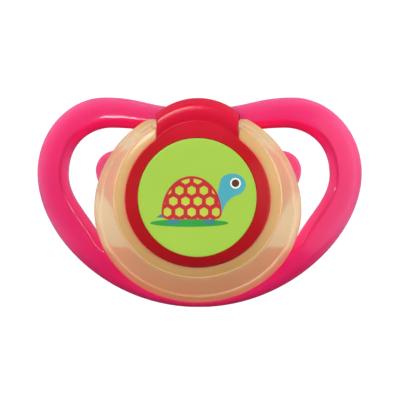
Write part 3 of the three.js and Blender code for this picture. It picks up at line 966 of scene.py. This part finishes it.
# ---------------------------------------------------------------- camera, floor and light
def make_floor():
    """A glowing white floor; the world behind it looks just as white, so no edge shows."""
    radius, sides, under_white = 2.6, 96, (0.02, 0.02, 0.02, 1)
    angles = np.linspace(0, 2 * math.pi, sides, endpoint=False)
    mesh = bpy.data.meshes.new("floor")
    edge = [(radius * math.cos(a), radius * math.sin(a), SHIELD_LOW[2] * MM) for a in angles]
    mesh.from_pydata(edge, [], [tuple(range(sides))])
    floor = bpy.data.objects.new("floor", mesh)
    bpy.context.scene.collection.objects.link(floor)
    material = bpy.data.materials.new("floor_white")
    material.use_nodes = True
    shader = material.node_tree.nodes["Principled BSDF"]
    shader.inputs["Base Color"].default_value = under_white
    shader.inputs["Roughness"].default_value = 1.0
    shader.inputs["Emission Color"].default_value = (1, 1, 1, 1)
    shader.inputs["Emission Strength"].default_value = 1.0
    mesh.materials.append(material)
    floor.visible_diffuse = False
    floor.visible_glossy = False


def area_light(name, place, size, power, mirrored_in_gloss):
    """A soft box that faces the object."""
    light = bpy.data.lights.new(name, "AREA")
    light.shape = "RECTANGLE"
    light.size, light.size_y = size
    light.energy = power
    lamp = bpy.data.objects.new(name, light)
    lamp.location = place
    lamp.rotation_euler = (-Vector(place)).to_track_quat("-Z", "Y").to_euler()
    lamp.visible_glossy = mirrored_in_gloss
    lamp.visible_camera = False
    bpy.context.scene.collection.objects.link(lamp)


def make_light():
    """A white room that lights softly, a soft box in front, fills, rims and a strip for the highlights."""
    just_over_white = 1.1
    world = bpy.data.worlds.new("studio")
    bpy.context.scene.world = world
    world.use_nodes = True
    nodes, links = world.node_tree.nodes, world.node_tree.links
    direction = nodes.new("ShaderNodeTexCoord")
    split = nodes.new("ShaderNodeSeparateXYZ")
    links.new(direction.outputs["Generated"], split.inputs["Vector"])
    total = nodes.new("ShaderNodeMath")
    # Light from each direction: more from above than from below, and less from the front than from behind
    for place, (axis, low, high) in enumerate((("Z", 0.15, 0.34), ("Y", -0.3, 0.06))):
        ramp = nodes.new("ShaderNodeMapRange")
        for name, value in (("From Min", -1), ("From Max", 1), ("To Min", low), ("To Max", high)):
            ramp.inputs[name].default_value = value
        links.new(split.outputs[axis], ramp.inputs["Value"])
        clamp = nodes.new("ShaderNodeClamp")
        links.new(ramp.outputs["Result"], clamp.inputs["Value"])
        links.new(clamp.outputs["Result"], total.inputs[place])
    # The camera sees it as white, both straight and through the clear pieces
    ray = nodes.new("ShaderNodeLightPath")
    white = nodes.new("ShaderNodeMath")
    white.operation = "MULTIPLY_ADD"
    white.inputs[1].default_value = just_over_white
    links.new(ray.outputs["Is Camera Ray"], white.inputs[0])
    links.new(ray.outputs["Is Transmission Ray"], white.inputs[2])
    strength = nodes.new("ShaderNodeMath")
    strength.operation = "MAXIMUM"
    links.new(total.outputs["Value"], strength.inputs[0])
    links.new(white.outputs["Value"], strength.inputs[1])
    links.new(strength.outputs["Value"], nodes["Background"].inputs["Strength"])
    nodes["Background"].inputs["Color"].default_value = (1, 1, 1, 1)
    area_light("key_softbox", (0.04, -0.66, 0.34), (0.6, 0.5), 2.75, False)
    area_light("left_fill", (-0.7, -0.5, 0.05), (0.4, 0.4), 1.4, False)
    area_light("right_fill", (0.7, -0.5, 0.05), (0.4, 0.4), 1.5, False)
    area_light("right_glow", (0.85, -0.15, 0.05), (0.9, 0.9), 1.8, True)
    area_light("left_rim", (-0.8, 0.2, 0.1), (0.5, 0.5), 3.1, False)
    area_light("right_rim", (0.8, 0.2, 0.1), (0.5, 0.5), 3.5, False)
    area_light("low_strip", (-0.26, -0.7, 0.28), (0.46, 0.05), 2.0, True)
    area_light("back_softbox", (0.15, 0.8, 0.5), (0.6, 0.6), 2.2, False)


def make_camera():
    """A long lens, very nearly straight on, that frames a square of the given width at the object."""
    yaw, rise = math.radians(1.7), math.radians(0.8)
    distance, framed_width, sensor_mm = 2.2, 0.0787, 36
    target = Vector((0.0003, 0.008, -0.0006))
    camera_data = bpy.data.cameras.new("camera")
    camera_data.sensor_width = sensor_mm
    camera_data.lens = sensor_mm * distance / framed_width
    camera_data.clip_start = 0.01
    camera = bpy.data.objects.new("camera", camera_data)
    away = Vector((math.sin(yaw) * math.cos(rise), -math.cos(yaw) * math.cos(rise), math.sin(rise)))
    camera.location = target + away * distance
    camera.rotation_euler = (-away).to_track_quat("-Z", "Y").to_euler()
    bpy.context.scene.collection.objects.link(camera)
    bpy.context.scene.camera = camera
    bpy.context.scene.view_settings.view_transform = "Standard"


make_camera()
make_floor()
make_light()
make_shield()
make_cover()
make_label()
make_prints()
make_plug()
make_teat()
make_ring()
dress()
